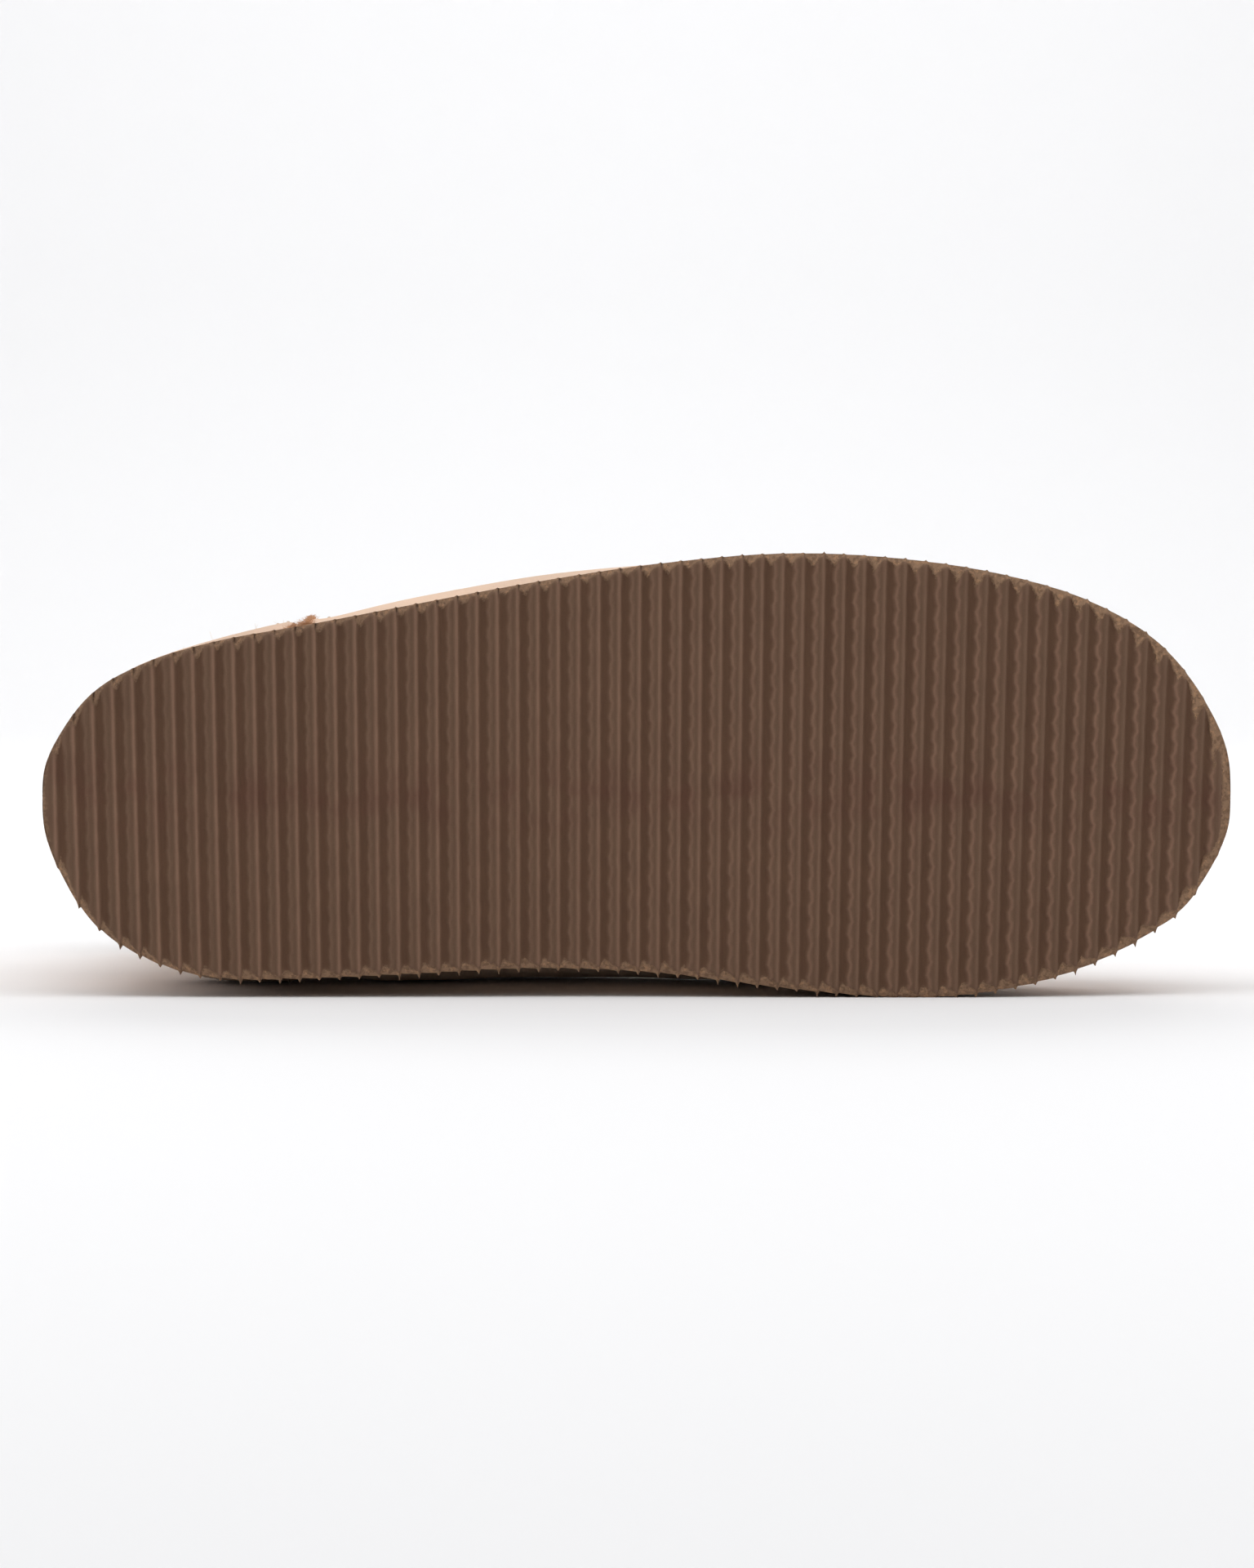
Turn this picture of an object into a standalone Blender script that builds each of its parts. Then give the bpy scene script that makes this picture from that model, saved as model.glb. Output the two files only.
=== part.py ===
# Fur-lined ankle boot for the right foot, empty and lying on its inner side.
# Metres, +Z up. The boot is modelled standing, with x from heel to toe, y towards its
# inner side and z up from the ground, and its parent then lays it down.

import math

import bmesh
import bpy
from mathutils import Vector

# Sole
SOLE_LENGTH = 0.298
BALL_WIDTH = 0.1096
HEEL_THICKNESS = 0.019
FOREFOOT_THICKNESS = 0.011
ARCH_RISE = 0.0012
TOE_SPRING = 0.008
HEEL_ROLL = 0.0015
SIDE_TAPER = 0.0015
EDGE_BEVEL = 0.0014
RIB_PITCH = 0.00503
RIB_START = 0.0034
RIB_CREST = 0.0021
GROOVE_FLOOR = 0.0014
GROOVE_DEPTH = 0.0017
STEEP_SIDE_RUN = 0.0003
HEEL_RIB_LEAN = math.radians(1.6)
TOE_RIB_LEAN = math.radians(-2.1)

# Upper, heights from the ground
INSTEP_HEIGHT = 0.096
COLLAR_HEIGHT = 0.146
UPPER_WALL = 0.0026
FEATHER_INSET = 0.0010
OUTER_BULGE = 0.0045
INNER_BULGE = 0.0098
REST_SOFTNESS = 0.0010
SAG_FADE = 0.45
SEAM_FROM_HEEL = 0.065
SEAM_WIDTH = 0.0050
SEAM_HEIGHT = 0.0011

# Heel counter, fur collar and footbed
COUNTER_THICKNESS = 0.0014
COUNTER_RISE = 0.53
COUNTER_DROP = 0.44
COUNTER_FOOT = 0.004
COUNTER_SEAM_GAP = 0.0010
COUNTER_CLEARANCE = 0.0008
FUR_THICKNESS = 0.0105
FUR_OVERHANG = 0.0030
FUR_ABOVE = 0.0095
FUR_BELOW = 0.022
FUR_CLEARANCE = 0.0006
LOCK_DEPTH = 0.0020
LOCK_SWAY = 0.0012
LOCK_COUNT = 34
FOOTBED_THICKNESS = 0.0040
FOOTBED_GAP = 0.0018
FIT = 0.0003

# Smoothness of the lofts
OUTLINE_STEPS = 40
UPPER_RINGS = 22
BACK_STEPS = 8
FRONT_STEPS = 17
COUNTER_ROWS = 11
LOCK_STEPS = 3

# Sole outline. Share of sole length from the heel, then the inner and the outer
# half-width as shares of ball width, before the ends are rounded off.
OUTLINE_ROWS = (
    (0.000, 0.330, 0.280),
    (0.036, 0.478, 0.400),
    (0.081, 0.516, 0.432),
    (0.136, 0.511, 0.439),
    (0.219, 0.463, 0.440),
    (0.301, 0.425, 0.458),
    (0.411, 0.394, 0.495),
    (0.521, 0.402, 0.535),
    (0.631, 0.447, 0.569),
    (0.741, 0.494, 0.583),
    (0.823, 0.506, 0.585),
    (0.878, 0.497, 0.579),
    (0.933, 0.468, 0.550),
    (0.965, 0.436, 0.494),
    (1.000, 0.300, 0.374),
)
END_ROUNDING = 0.6
BULGE_ROUNDING = 0.8

# Where along the sole its forms begin and end, as shares of its length.
ARCH_START, ARCH_END = 0.30, 0.62
SPRING_START = 0.76
SPRING_POWER = 1.8
ROLL_END = 0.03
WEDGE_START, WEDGE_END = 0.28, 0.58

# Upper, a row for each ring from the feather line, level 0, to the collar, level 1.
# back_in, front_in: how far the ring's ends lie in from the feather line, as shares
# of sole length. back_rise, front_rise: 0 at the feather line, 1 at the instep's
# height, 2 at the collar's. The four half-widths are shares of ball width. follow:
# how much of the sole's own outline is left. rounding: 1 makes the ends elliptical.
RING_COLUMNS = (
    "level", "back_in", "back_rise", "front_in", "front_rise",
    "heel_inner", "heel_outer", "fore_inner", "fore_outer", "follow", "rounding",
    "bulge_inner", "bulge_outer",
)
RINGS = (
    (0.00, 0.000, 0.00, 0.000, 0.00, 0.43, 0.38, 0.43, 0.50, 1.00, 0.60, 0.00, 0.00),
    (0.08, -0.008, 0.12, -0.001, 0.10, 0.43, 0.38, 0.43, 0.50, 1.00, 0.60, 0.12, 0.62),
    (0.16, -0.012, 0.25, 0.007, 0.21, 0.43, 0.38, 0.43, 0.50, 0.98, 0.62, 0.50, 1.00),
    (0.25, -0.013, 0.38, 0.032, 0.31, 0.43, 0.37, 0.43, 0.49, 0.88, 0.68, 1.00, 1.00),
    (0.34, -0.011, 0.50, 0.086, 0.40, 0.43, 0.36, 0.42, 0.48, 0.68, 0.76, 1.00, 0.85),
    (0.43, -0.006, 0.62, 0.166, 0.49, 0.43, 0.35, 0.42, 0.47, 0.45, 0.84, 0.75, 0.60),
    (0.52, 0.001, 0.74, 0.257, 0.60, 0.42, 0.35, 0.40, 0.44, 0.25, 0.90, 0.42, 0.35),
    (0.61, 0.009, 0.86, 0.351, 0.74, 0.42, 0.35, 0.38, 0.41, 0.10, 0.95, 0.12, 0.10),
    (0.70, 0.015, 1.00, 0.431, 0.92, 0.42, 0.35, 0.37, 0.38, 0.00, 1.00, 0.00, 0.00),
    (0.79, 0.017, 1.22, 0.490, 1.15, 0.42, 0.34, 0.38, 0.35, 0.00, 1.00, 0.00, 0.00),
    (0.88, 0.014, 1.50, 0.530, 1.45, 0.43, 0.33, 0.40, 0.33, 0.00, 1.00, 0.00, 0.00),
    (1.00, 0.004, 2.00, 0.560, 2.00, 0.45, 0.31, 0.45, 0.32, 0.00, 1.00, 0.00, 0.00),
)
# How the bulge over the sole's edge changes from heel to toe, on each side.
BULGE = {
    "along": (0.0, 0.10, 0.20, 0.27, 0.34, 0.40, 0.46, 0.60, 0.80, 1.0),
    "inner": (0.4, 1.00, 1.00, 0.92, 0.70, 0.45, 0.30, 0.20, 0.15, 0.3),
    "outer": (0.3, 0.00, 0.40, 0.80, 0.85, 0.90, 0.62, 0.35, 0.30, 0.3),
}
# Section of the fur. out: shares of fur thickness inwards (negative) or of overhang
# outwards (positive). up: shares of fur depth below or fur height above the edge.
# lock: how far the locks stand there.
FUR_SECTION = (
    # out, up, lock
    (0.00, -1.00, 0.0),
    (0.00, 0.00, 0.0),
    (0.75, 0.06, 0.3),
    (1.00, 0.45, 0.9),
    (0.30, 0.92, 1.0),
    (-0.45, 1.00, 1.0),
    (-0.88, 0.60, 1.0),
    (-1.00, -0.10, 1.0),
    (-0.92, -0.62, 0.9),
    (-0.60, -1.00, 0.4),
)


def by_column(names, rows):
    return {name: [row[i] for row in rows] for i, name in enumerate(names)}


OUTLINE = by_column(("along", "inner", "outer"), OUTLINE_ROWS)
RING_TABLE = by_column(RING_COLUMNS, RINGS)


def smooth(table, key, column, where):
    """The value of a column at a place between the rows, on a cubic through them."""
    places = table[key]
    values = table[column]
    last = len(places) - 1
    i = 0
    while i < last - 1 and where > places[i + 1]:
        i += 1

    def slope(k):
        low, high = max(k - 1, 0), min(k + 1, last)
        return (values[high] - values[low]) / (places[high] - places[low])

    span = places[i + 1] - places[i]
    t = min(max((where - places[i]) / span, 0.0), 1.0)
    a, b = values[i], values[i + 1]
    rise_a, rise_b = slope(i) * span, slope(i + 1) * span
    return (
        a * (1 + 2 * t) * (1 - t) ** 2
        + rise_a * t * (1 - t) ** 2
        + b * t * t * (3 - 2 * t)
        - rise_b * t * t * (1 - t)
    )


def ease(t):
    t = min(max(t, 0.0), 1.0)
    return t * t * (3 - 2 * t)


def mix(a, b, t):
    return a + (b - a) * t


def end_round(share, power):
    """1 along the middle of a ring, falling to 0 at both of its ends."""
    return (2 * math.sqrt(max(share * (1 - share), 0.0))) ** power


# The sole's own shape


def tread_height(share):
    """Height of the walking surface: flat at heel and ball, raised at arch and ends."""
    rise = HEEL_ROLL * max(1 - share / ROLL_END, 0.0) ** 2
    if ARCH_START < share < ARCH_END:
        rise += ARCH_RISE * math.sin(math.pi * (share - ARCH_START) / (ARCH_END - ARCH_START)) ** 2
    if share > SPRING_START:
        rise += TOE_SPRING * ((share - SPRING_START) / (1 - SPRING_START)) ** SPRING_POWER
    return rise


def sole_top(x):
    share = min(max(x / SOLE_LENGTH, 0.0), 1.0)
    wedge = 1 - ease((share - WEDGE_START) / (WEDGE_END - WEDGE_START))
    return tread_height(share) + mix(FOREFOOT_THICKNESS, HEEL_THICKNESS, wedge)


def sole_body(side, share, inset):
    """Half-width of the sole drawn in by an inset, before its ends are rounded off."""
    return BALL_WIDTH * smooth(OUTLINE, "along", side, share) - inset


def sole_half(side, share, inset=0.0):
    return sole_body(side, share, inset) * end_round(share, END_ROUNDING)


# The inner edge's reach at the ball, which is the plane that the boot lies on.
LYING_REACH = max(sole_half("inner", i / 200) for i in range(201))


def outline_ring(inset, height):
    """The sole's outline drawn in by an inset, from the heel round the inner side."""
    places = [(1 - math.cos(math.pi * i / OUTLINE_STEPS)) / 2 for i in range(OUTLINE_STEPS + 1)]
    ring = []
    for share in places:
        x = mix(inset, SOLE_LENGTH - inset, share)
        ring.append(Vector((x, sole_half("inner", share, inset), height(x))))
    for share in places[-2:0:-1]:
        x = mix(inset, SOLE_LENGTH - inset, share)
        ring.append(Vector((x, -sole_half("outer", share, inset), height(x))))
    return ring


# The upper's own shape


def rise_to(base, rise):
    """Height for a rise of 0 at the base, 1 at the instep and 2 at the collar."""
    lower = mix(base, INSTEP_HEIGHT, min(rise, 1.0))
    return lower + (COLLAR_HEIGHT - INSTEP_HEIGHT) * max(rise - 1, 0.0)


def ring_ends(level):
    """Back and front end of a ring as (x, z)."""
    row = {name: smooth(RING_TABLE, "level", name, level) for name in RING_COLUMNS}
    foot_in = SIDE_TAPER + FEATHER_INSET
    back_x = foot_in + row["back_in"] * SOLE_LENGTH
    front_x = SOLE_LENGTH - foot_in - row["front_in"] * SOLE_LENGTH
    back_z = rise_to(sole_top(foot_in) + FIT, row["back_rise"])
    front_z = rise_to(sole_top(SOLE_LENGTH - foot_in) + FIT, row["front_rise"])
    return row, (back_x, back_z), (front_x, front_z)


def rest_flat(reach, limit):
    """A reach that levels off softly at the limit, as hide does where it lies."""
    over = (reach - limit) / REST_SOFTNESS
    return limit - REST_SOFTNESS * math.log1p(math.exp(-over)) if over > -30 else reach


def seam_ridge(distance):
    """Height of the raised side seam at a distance from its middle."""
    return SEAM_HEIGHT * (1 - ease((abs(distance) - SEAM_WIDTH * 0.25) / (SEAM_WIDTH * 0.25)))


def upper_point(level, share, side, ridge=True):
    """A point of the upper's outer face. share runs along the ring from back to front."""
    row, back, front = ring_ends(level)
    x = mix(back[0], front[0], share)
    along = min(max(x / SOLE_LENGTH, 0.0), 1.0)
    like_sole = sole_body(side, share, SIDE_TAPER + FEATHER_INSET)
    like_egg = BALL_WIDTH * mix(row["heel_" + side], row["fore_" + side], ease(share))
    body = mix(like_egg, like_sole, row["follow"])
    half = body * end_round(share, row["rounding"])
    most = INNER_BULGE if side == "inner" else OUTER_BULGE
    swell = smooth(BULGE, "along", side, along) * end_round(share, BULGE_ROUNDING)
    half += most * row["bulge_" + side] * swell
    if ridge:
        half += seam_ridge(x - SEAM_FROM_HEEL)
    if side == "inner":
        half = rest_flat(half, LYING_REACH - COUNTER_THICKNESS - COUNTER_CLEARANCE)
    sag = sole_top(x) + FIT - mix(ring_ends(0.0)[1][1], ring_ends(0.0)[2][1], share)
    z = mix(back[1], front[1], share) + sag * max(1 - level / SAG_FADE, 0.0) ** 1.5
    return Vector((x, half if side == "inner" else -half, z))


def ring_shares(level):
    """Places along a ring, close together at its ends and at the raised side seam."""
    back, front = ring_ends(level)[1:]
    length = front[0] - back[0]
    seam = (SEAM_FROM_HEEL - back[0]) / length
    half_seam = SEAM_WIDTH / 2 / length
    quarter = math.pi / 2
    behind, ahead = seam - half_seam, seam + half_seam
    back_turns = [quarter * i / BACK_STEPS for i in range(BACK_STEPS + 1)]
    front_turns = [quarter * i / FRONT_STEPS for i in range(FRONT_STEPS + 1)]
    shares = [behind * (1 - math.cos(turn)) for turn in back_turns]
    shares += [seam - half_seam / 2, seam + half_seam / 2]
    return shares + [ahead + (1 - ahead) * math.sin(turn) for turn in front_turns]


def upper_ring(level):
    shares = ring_shares(level)
    ring = [upper_point(level, share, "inner") for share in shares]
    return ring + [upper_point(level, share, "outer") for share in shares[-2:0:-1]]


# Building meshes


def loft(rings, closed_rows=False):
    """A mesh of quads through rings of equal length, each ring closed on itself."""
    shape = bmesh.new()
    rows = [[shape.verts.new(point) for point in ring] for ring in rings]
    pairs = list(zip(rows, rows[1:] + rows[:1])) if closed_rows else list(zip(rows, rows[1:]))
    for low, high in pairs:
        for i in range(len(low)):
            j = (i + 1) % len(low)
            shape.faces.new((low[i], low[j], high[j], high[i]))
    return shape, rows


def cap(shape, ring):
    """Fills an outline ring with strips across it, from its first point to its middle."""
    count = len(ring)
    for i in range(count // 2):
        corners = [ring[i], ring[i + 1], ring[count - 1 - i], ring[(count - i) % count]]
        kept = [v for k, v in enumerate(corners) if v not in corners[:k]]
        if len(kept) > 2:
            shape.faces.new(kept)


def add_object(name, shape, material, collection):
    bmesh.ops.recalc_face_normals(shape, faces=shape.faces)
    mesh = bpy.data.meshes.new(name)
    shape.to_mesh(mesh)
    shape.free()
    mesh.shade_smooth()
    mesh.set_sharp_from_angle(angle=math.radians(40))
    obj = bpy.data.objects.new(name, mesh)
    if material:
        mesh.materials.append(material)
    collection.objects.link(obj)
    return obj


def make_material(name, colour, roughness):
    material = bpy.data.materials.new(name)
    material.use_nodes = True
    shader = material.node_tree.nodes["Principled BSDF"]
    shader.inputs["Base Color"].default_value = (*colour, 1.0)
    shader.inputs["Roughness"].default_value = roughness
    shader.inputs["Metallic"].default_value = 0.0
    return material


# The pieces


def make_groove_cutter(collection):
    """One bar for each groove between two ribs: steep towards the heel, sloping towards the toe."""
    shape = bmesh.new()
    reach = BALL_WIDTH
    mouth = RIB_PITCH - RIB_CREST
    slope_run = mouth - STEEP_SIDE_RUN - GROOVE_FLOOR
    for k in range(int((SOLE_LENGTH - RIB_START) / RIB_PITCH)):
        x = RIB_START + mouth / 2 + RIB_PITCH * k
        share = x / SOLE_LENGTH
        lean = math.tan(mix(HEEL_RIB_LEAN, TOE_RIB_LEAN, share))
        step = 0.5 * RIB_PITCH / SOLE_LENGTH
        slope = tread_height(min(share + step, 1.0)) - tread_height(max(share - step, 0.0))
        along = Vector((RIB_PITCH, 0, slope)).normalized()
        up = Vector((-along.z, 0, along.x))
        foot = Vector((x, 0, tread_height(share)))
        corners = (
            (-mouth / 2 - STEEP_SIDE_RUN, -GROOVE_DEPTH),
            (mouth / 2 + slope_run, -GROOVE_DEPTH),
            (mouth / 2 - slope_run, GROOVE_DEPTH),
            (-mouth / 2 + STEEP_SIDE_RUN, GROOVE_DEPTH),
        )
        ends = []
        for y in (-reach, reach):
            shift = Vector((y * lean, y, 0))
            ends.append([shape.verts.new(foot + along * a + up * b + shift) for a, b in corners])
        low, high = ends
        shape.faces.new(low)
        shape.faces.new(high[::-1])
        for i in range(4):
            shape.faces.new((low[i], high[i], high[(i + 1) % 4], low[(i + 1) % 4]))
    cutter = add_object("groove_cutter", shape, None, collection)
    cutter.hide_render = True
    cutter.display_type = "WIRE"
    return cutter


def make_outsole(material, collection, cutter):
    def at_tread(x):
        return tread_height(x / SOLE_LENGTH)

    def at_bevel(x):
        return tread_height(x / SOLE_LENGTH) + EDGE_BEVEL

    rings = [
        outline_ring(EDGE_BEVEL, at_tread),
        outline_ring(0.0, at_bevel),
        outline_ring(SIDE_TAPER, sole_top),
    ]
    shape, rows = loft(rings)
    cap(shape, rows[0])
    cap(shape, rows[-1])
    outsole = add_object("outsole", shape, material, collection)
    cut = outsole.modifiers.new("grooves", "BOOLEAN")
    cut.operation = "DIFFERENCE"
    cut.solver = "EXACT"
    cut.object = cutter
    return outsole


def make_footbed(material, collection):
    inset = SIDE_TAPER + FEATHER_INSET + UPPER_WALL + FOOTBED_GAP
    low = outline_ring(inset, lambda x: sole_top(x) + FIT)
    high = outline_ring(inset, lambda x: sole_top(x) + FIT + FOOTBED_THICKNESS)
    shape, rows = loft([low, high])
    cap(shape, rows[0])
    cap(shape, rows[1])
    return add_object("footbed", shape, material, collection)


def make_upper(material, collection):
    shape = loft([upper_ring(i / UPPER_RINGS) for i in range(UPPER_RINGS + 1)])[0]
    upper = add_object("upper", shape, material, collection)
    wall = upper.modifiers.new("wall", "SOLIDIFY")
    wall.thickness = UPPER_WALL
    wall.offset = -1
    wall.use_even_offset = True
    return upper


def make_counter(material, collection):
    """The heel patch, sewn over the upper from one side seam round to the other."""
    shape = bmesh.new()
    columns = []
    steps = BACK_STEPS
    for i in range(-steps, steps + 1):
        turn = abs(i) / steps
        side = "inner" if i < 0 else "outer"
        top = COUNTER_RISE * (1 - COUNTER_DROP * turn ** 5)
        column = []
        for j in range(COUNTER_ROWS + 1):
            level = mix(COUNTER_FOOT, top, j / COUNTER_ROWS)
            back, front = ring_ends(level)[1:]
            edge = SEAM_FROM_HEEL - SEAM_WIDTH / 2 - COUNTER_SEAM_GAP
            share = (edge - back[0]) / (front[0] - back[0]) * (1 - math.cos(math.pi / 2 * turn))
            column.append(shape.verts.new(upper_point(level, share, side, ridge=False)))
        columns.append(column)
    for left, right in zip(columns, columns[1:]):
        for j in range(COUNTER_ROWS):
            shape.faces.new((left[j], right[j], right[j + 1], left[j + 1]))
    counter = add_object("heel_counter", shape, material, collection)
    lift = counter.modifiers.new("clear of the upper", "DISPLACE")
    lift.mid_level = 0.0
    lift.strength = COUNTER_CLEARANCE
    wall = counter.modifiers.new("wall", "SOLIDIFY")
    wall.thickness = COUNTER_THICKNESS
    wall.offset = 1
    wall.use_even_offset = True
    return counter


def level_at(height):
    """The level at which the back of the upper reaches a height."""
    low, high = 0.0, 1.0
    for _ in range(24):
        middle = (low + high) / 2
        if ring_ends(middle)[1][1] < height:
            low = middle
        else:
            high = middle
    return low


def make_fur_collar(material, collection):
    """The shearling at the top edge: a thick ring with its locks standing proud."""
    steps = LOCK_COUNT * LOCK_STEPS
    foot_level = level_at(COLLAR_HEIGHT - FUR_BELOW)

    def wall_point(i, level):
        turn = 2 * math.pi * (i % steps) / steps
        side = "inner" if turn < math.pi else "outer"
        return upper_point(level, (1 - math.cos(turn)) / 2, side, ridge=False)

    rings = []
    for i in range(steps):
        tangent = wall_point(i + 1, 1.0) - wall_point(i - 1, 1.0)
        tangent = Vector((tangent.x, tangent.y, 0)).normalized()
        outward = Vector((-tangent.y, tangent.x, 0))
        crest = (0.0, 1.0, 0.55)[i % LOCK_STEPS]
        ring = []
        for k, (out, up, lock) in enumerate(FUR_SECTION):
            spot = wall_point(i, mix(1.0, foot_level, max(-up, 0.0)))
            if out > 0:
                reach = FUR_OVERHANG * out
            else:
                reach = -UPPER_WALL - FUR_CLEARANCE + FUR_THICKNESS * out
            height = FUR_CLEARANCE + FUR_ABOVE * max(up, 0.0)
            away = outward if out > 0 else -outward
            away = (away * 0.8 + Vector((0, 0, 0.6 if up > 0 else -0.3))).normalized()
            spot += outward * reach + Vector((0, 0, height))
            spot += away * (LOCK_DEPTH * lock * (crest - 0.6))
            spot += tangent * (LOCK_SWAY * lock * math.sin(1.7 * i + k))
            spot.y = min(spot.y, LYING_REACH)
            ring.append(spot)
        rings.append(ring)
    shape = loft(rings, closed_rows=True)[0]
    return add_object("fur_collar", shape, material, collection)


def lay_down(parent, pieces):
    """Lays the boot on its inner side, centred over the origin and on z = 0."""
    parent.rotation_euler = (math.radians(-90), 0, 0)
    bpy.context.view_layer.update()
    graph = bpy.context.evaluated_depsgraph_get()
    points = []
    for piece in pieces:
        evaluated = piece.evaluated_get(graph)
        points += [evaluated.matrix_world @ vertex.co for vertex in evaluated.data.vertices]
    low = Vector(min(point[k] for point in points) for k in range(3))
    high = Vector(max(point[k] for point in points) for k in range(3))
    parent.location = (-(low.x + high.x) / 2, -(low.y + high.y) / 2, -low.z)
    bpy.context.view_layer.update()


def main():
    for obj in list(bpy.data.objects):
        bpy.data.objects.remove(obj)
    boot = bpy.data.collections.new("fur_lined_ankle_boot")
    cutters = bpy.data.collections.new("cutters")
    bpy.context.scene.collection.children.link(boot)
    bpy.context.scene.collection.children.link(cutters)

    rubber = make_material("brown sponge rubber", (0.127, 0.082, 0.056), 0.75)
    suede = make_material("pale suede", (0.72, 0.50, 0.37), 0.9)
    patch_suede = make_material("pale suede patch", (0.68, 0.46, 0.34), 0.9)
    fleece = make_material("cream fleece", (0.78, 0.62, 0.45), 1.0)
    felt = make_material("fleece footbed", (0.76, 0.60, 0.44), 1.0)

    standing = bpy.data.objects.new("boot", None)
    boot.objects.link(standing)
    cutter = make_groove_cutter(cutters)
    pieces = [
        make_outsole(rubber, boot, cutter),
        make_footbed(felt, boot),
        make_upper(suede, boot),
        make_counter(patch_suede, boot),
        make_fur_collar(fleece, boot),
    ]
    for piece in pieces:
        piece.parent = standing
    cutter.parent = standing
    lay_down(standing, pieces)


main()
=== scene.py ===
import math

import bpy
import numpy as np
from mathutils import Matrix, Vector, bvhtree, kdtree, noise


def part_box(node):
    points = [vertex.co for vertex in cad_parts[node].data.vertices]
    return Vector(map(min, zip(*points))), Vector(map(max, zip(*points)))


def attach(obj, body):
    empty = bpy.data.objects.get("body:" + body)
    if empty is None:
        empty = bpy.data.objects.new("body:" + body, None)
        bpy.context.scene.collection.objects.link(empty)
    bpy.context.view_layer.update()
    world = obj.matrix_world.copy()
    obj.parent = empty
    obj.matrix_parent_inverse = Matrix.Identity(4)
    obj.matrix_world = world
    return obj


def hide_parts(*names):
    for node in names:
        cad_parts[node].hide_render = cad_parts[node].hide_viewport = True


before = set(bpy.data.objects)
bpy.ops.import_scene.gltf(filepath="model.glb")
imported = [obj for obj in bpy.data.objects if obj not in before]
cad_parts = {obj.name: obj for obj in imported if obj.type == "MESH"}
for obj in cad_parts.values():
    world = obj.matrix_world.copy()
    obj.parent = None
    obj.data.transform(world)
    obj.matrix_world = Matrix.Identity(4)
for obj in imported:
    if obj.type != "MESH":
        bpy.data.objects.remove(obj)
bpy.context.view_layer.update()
print("frame loaded")

soleLow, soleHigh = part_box("outsole")

# Outline of the sole, half-widths in shares of the ball's width, before the ends are rounded
outline = {
    "along": (0.0, 0.036, 0.081, 0.136, 0.219, 0.301, 0.411, 0.521, 0.631, 0.741, 0.823,
              0.878, 0.933, 0.965, 1.0),
    "inner": (0.33, 0.478, 0.516, 0.511, 0.463, 0.425, 0.394, 0.402, 0.447, 0.494, 0.506,
              0.497, 0.468, 0.436, 0.30),
    "outer": (0.28, 0.400, 0.432, 0.439, 0.440, 0.458, 0.495, 0.535, 0.569, 0.583, 0.585,
              0.579, 0.550, 0.494, 0.374),
    "endRounding": 0.6,
}


def throughTable(places, values, where):
    # cubic through the rows of a table
    places, values = np.array(places), np.array(values)
    slope = np.gradient(values, places)
    slope[1:-1] = (values[2:] - values[:-2]) / (places[2:] - places[:-2])
    i = np.clip(np.searchsorted(places, where) - 1, 0, len(places) - 2)
    span = places[i + 1] - places[i]
    t = np.clip((where - places[i]) / span, 0, 1)
    stay, turn = (1 + 2 * t) * (1 - t) ** 2, t * t * (3 - 2 * t)
    bend = slope[i] * t * (1 - t) ** 2 - slope[i + 1] * t * t * (1 - t)
    return values[i] * stay + values[i + 1] * turn + bend * span


def halfShare(side, share):
    ends = (2 * np.sqrt(np.maximum(share * (1 - share), 0))) ** outline["endRounding"]
    return throughTable(outline["along"], outline[side], share) * ends


manyShares = np.linspace(0, 1, 2001)
innerMost = halfShare("inner", manyShares).max()
outerMost = halfShare("outer", manyShares).max()
shoe = {
    "heelX": soleLow.x,
    "groundY": soleLow.y,
    "length": soleHigh.x - soleLow.x,
    "ballWidth": (soleHigh.z - soleLow.z) / (innerMost + outerMost),
    "seam": 0.065,  # raised side seams, from the heel's end
}
shoe["axisZ"] = soleLow.z + innerMost * shoe["ballWidth"]


def toWorld(along, across, height):
    # from the shoe's own sizes, standing, to where it lies
    along, across, height = np.broadcast_arrays(along, across, height)
    return np.stack((shoe["heelX"] + along, shoe["groundY"] + height, shoe["axisZ"] - across), -1)


def toShoe(points):
    points = np.asarray(points)
    return points[:, 0] - shoe["heelX"], shoe["axisZ"] - points[:, 2], points[:, 1] - shoe["groundY"]


def soleHalf(side, along, inset=0.0):
    share = np.clip((along - inset) / (shoe["length"] - 2 * inset), 0, 1)
    ends = (2 * np.sqrt(share * (1 - share))) ** outline["endRounding"]
    return (shoe["ballWidth"] * throughTable(outline["along"], outline[side], share) - inset) * ends


def ease(t):
    t = np.clip(t, 0, 1)
    return t * t * (3 - 2 * t)


def treadHeight(along):
    share = np.clip(along / shoe["length"], 0, 1)
    heelRoll, archRise, toeSpring = 0.0015, 0.0012, 0.008
    rise = heelRoll * np.maximum(1 - share / 0.03, 0) ** 2
    arch = np.clip((share - 0.30) / 0.32, 0, 1)
    rise += archRise * np.sin(math.pi * arch) ** 2
    return rise + toeSpring * np.maximum((share - 0.76) / 0.24, 0) ** 1.8


def soleTop(along):
    heelThickness, foreThickness = 0.019, 0.011
    share = np.clip(along / shoe["length"], 0, 1)
    wedge = 1 - ease((share - 0.28) / 0.30)
    return treadHeight(along) + foreThickness + (heelThickness - foreThickness) * wedge


# Small helpers


def selectOnly(*objs):
    bpy.ops.object.select_all(action="DESELECT")
    for obj in objs:
        obj.select_set(True)
    bpy.context.view_layer.objects.active = objs[0]


def readPoints(obj):
    points = np.empty(len(obj.data.vertices) * 3)
    obj.data.vertices.foreach_get("co", points)
    return points.reshape(-1, 3)


def writePoints(obj, points):
    obj.data.vertices.foreach_set("co", np.asarray(points, np.float32).ravel())
    obj.data.update()


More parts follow.
